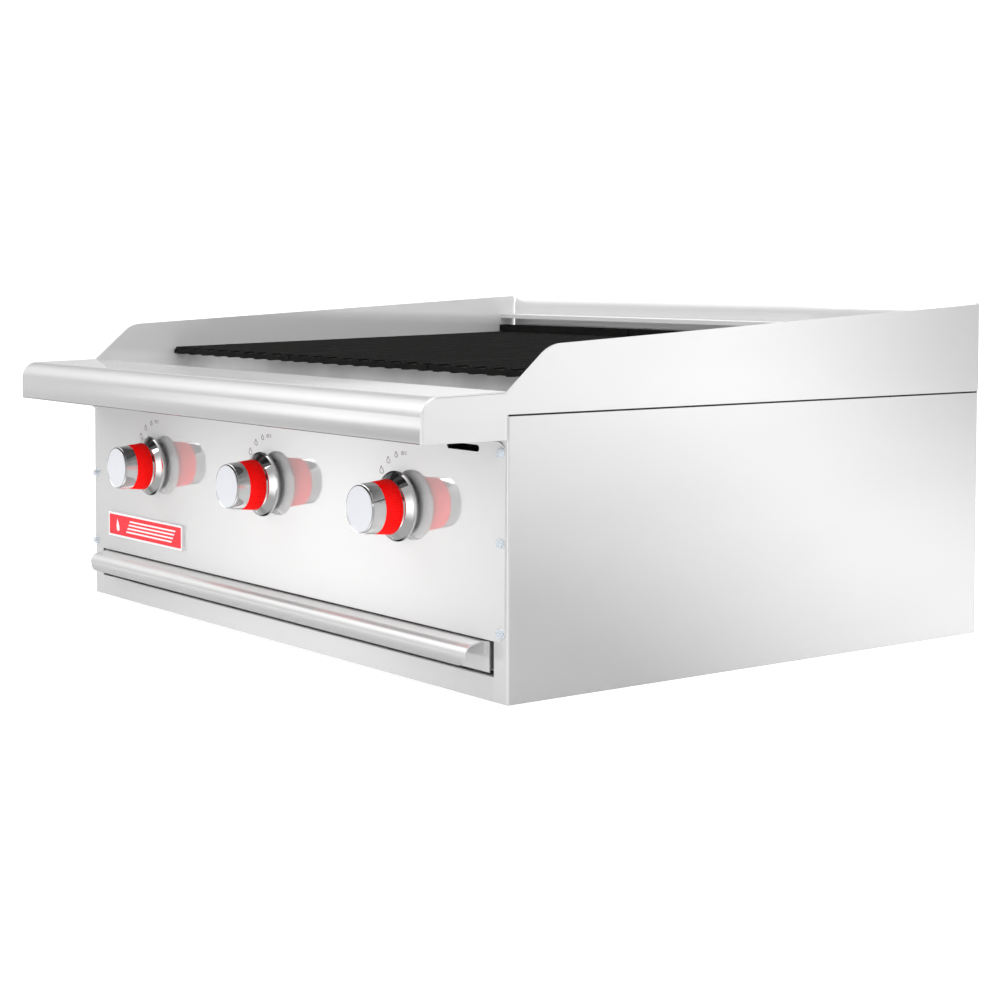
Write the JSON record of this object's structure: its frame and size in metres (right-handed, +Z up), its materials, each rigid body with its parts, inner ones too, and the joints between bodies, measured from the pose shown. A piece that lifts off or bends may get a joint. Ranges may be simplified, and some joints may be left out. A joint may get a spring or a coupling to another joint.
{
  "type": "charbroiler grill",
  "caption": "Counter-top gas charbroiler with a bullnose work ledge, turning burner knobs, sliding drip tray and lift-off cast-iron grates.",
  "frame": {"origin": "middle of the overall width and depth, on the plane that the base stands on", "axes": "+X to the right seen from the front, +Y to the back, +Z up"},
  "size_m": [0.9144, 0.8192, 0.3965],
  "materials": {
    "stainless": "fine brushed, semi-bright",
    "inner_steel": "dull mill finish",
    "zinc": "bright zinc plate",
    "black_pipe": "black lacquered pipe",
    "brass": "machined",
    "pilot_tube": "drawn tube",
    "sealant": "matt black high-temperature sealant",
    "red_enamel": "gloss enamel",
    "cast_iron": "as cast",
    "grate_iron": "matt black, seasoned",
    "knob_chrome": "polished",
    "knob_red": "fine lengthwise ribs",
    "knob_face": "satin",
    "valve_steel": "turned"
  },
  "bodies": {
    "root": {"side_panel_left": "stainless", "side_panel_right": "stainless", "cheek_left": "stainless", "cheek_right": "stainless", "seam_gaskets": "sealant", "back_guard": "stainless", "guard_shelf": "stainless", "back_panel": "inner_steel", "base_plate": "inner_steel", "leg_nuts": "zinc", "lower_front_plate": "stainless", "control_panel": "stainless", "panel_screws": "zinc", "front_ledge": "stainless", "badge_plate": "stainless", "badge_enamel": "red_enamel", "grease_trough": "inner_steel", "trough_drain_tube": "inner_steel", "firebox_front": "inner_steel", "firebox_rear": "inner_steel", "firebox_left": "inner_steel", "firebox_right": "inner_steel", "radiant_rail_front": "inner_steel", "radiant_rail_rear": "inner_steel", "burner_rest_rear": "inner_steel", "gas_manifold": "black_pipe", "manifold_elbow": "black_pipe", "gas_supply_pipe": "black_pipe", "gas_inlet_coupling": "black_pipe", "orifice_hoods": "brass", "pilot_tubes": "pilot_tube", "tray_runner_left": "inner_steel", "tray_runner_right": "inner_steel", "burner_1": "cast_iron", "burner_2": "cast_iron", "burner_3": "cast_iron", "radiant_1": "cast_iron", "radiant_2": "cast_iron", "radiant_3": "cast_iron", "gas_valve_1": "brass", "gas_valve_2": "brass", "gas_valve_3": "brass"},
    "drip_tray": {"tray_front": "stainless", "tray_pull": "stainless", "tray_pan": "inner_steel"},
    "knob_1": {"knob_skirt_1": "knob_chrome", "knob_grip_1": "knob_red", "knob_cap_1": "knob_face", "valve_stem_1": "valve_steel"},
    "grate_section_1": {"grate_1": "grate_iron"},
    "knob_2": {"knob_skirt_2": "knob_chrome", "knob_grip_2": "knob_red", "knob_cap_2": "knob_face", "valve_stem_2": "valve_steel"},
    "grate_section_2": {"grate_2": "grate_iron"},
    "knob_3": {"knob_skirt_3": "knob_chrome", "knob_grip_3": "knob_red", "knob_cap_3": "knob_face", "valve_stem_3": "valve_steel"},
    "grate_section_3": {"grate_3": "grate_iron"}
  },
  "joints": [
    {"name": "drip_tray_slide", "type": "slide", "parent": "root", "child": "drip_tray", "axis": [0, -1, 0], "range_m": [0, 0.5]},
    {"name": "knob_1_turn", "type": "hinge", "parent": "root", "child": "knob_1", "pos_m": [-0.278, -0.33505, 0.184], "axis": [0, -1, 0], "range_deg": [0, 90]},
    {"name": "knob_2_turn", "type": "hinge", "parent": "root", "child": "knob_2", "pos_m": [0, -0.33505, 0.184], "axis": [0, -1, 0], "range_deg": [0, 90]},
    {"name": "knob_3_turn", "type": "hinge", "parent": "root", "child": "knob_3", "pos_m": [0.278, -0.33505, 0.184], "axis": [0, -1, 0], "range_deg": [0, 90]},
    {"name": "grate_1_lift", "type": "slide", "parent": "root", "child": "grate_section_1", "axis": [0, -0.8, 0.6], "range_m": [0, 0.25]},
    {"name": "grate_2_lift", "type": "slide", "parent": "root", "child": "grate_section_2", "axis": [0, -0.8, 0.6], "range_m": [0, 0.25]},
    {"name": "grate_3_lift", "type": "slide", "parent": "root", "child": "grate_section_3", "axis": [0, -0.8, 0.6], "range_m": [0, 0.25]}
  ]
}
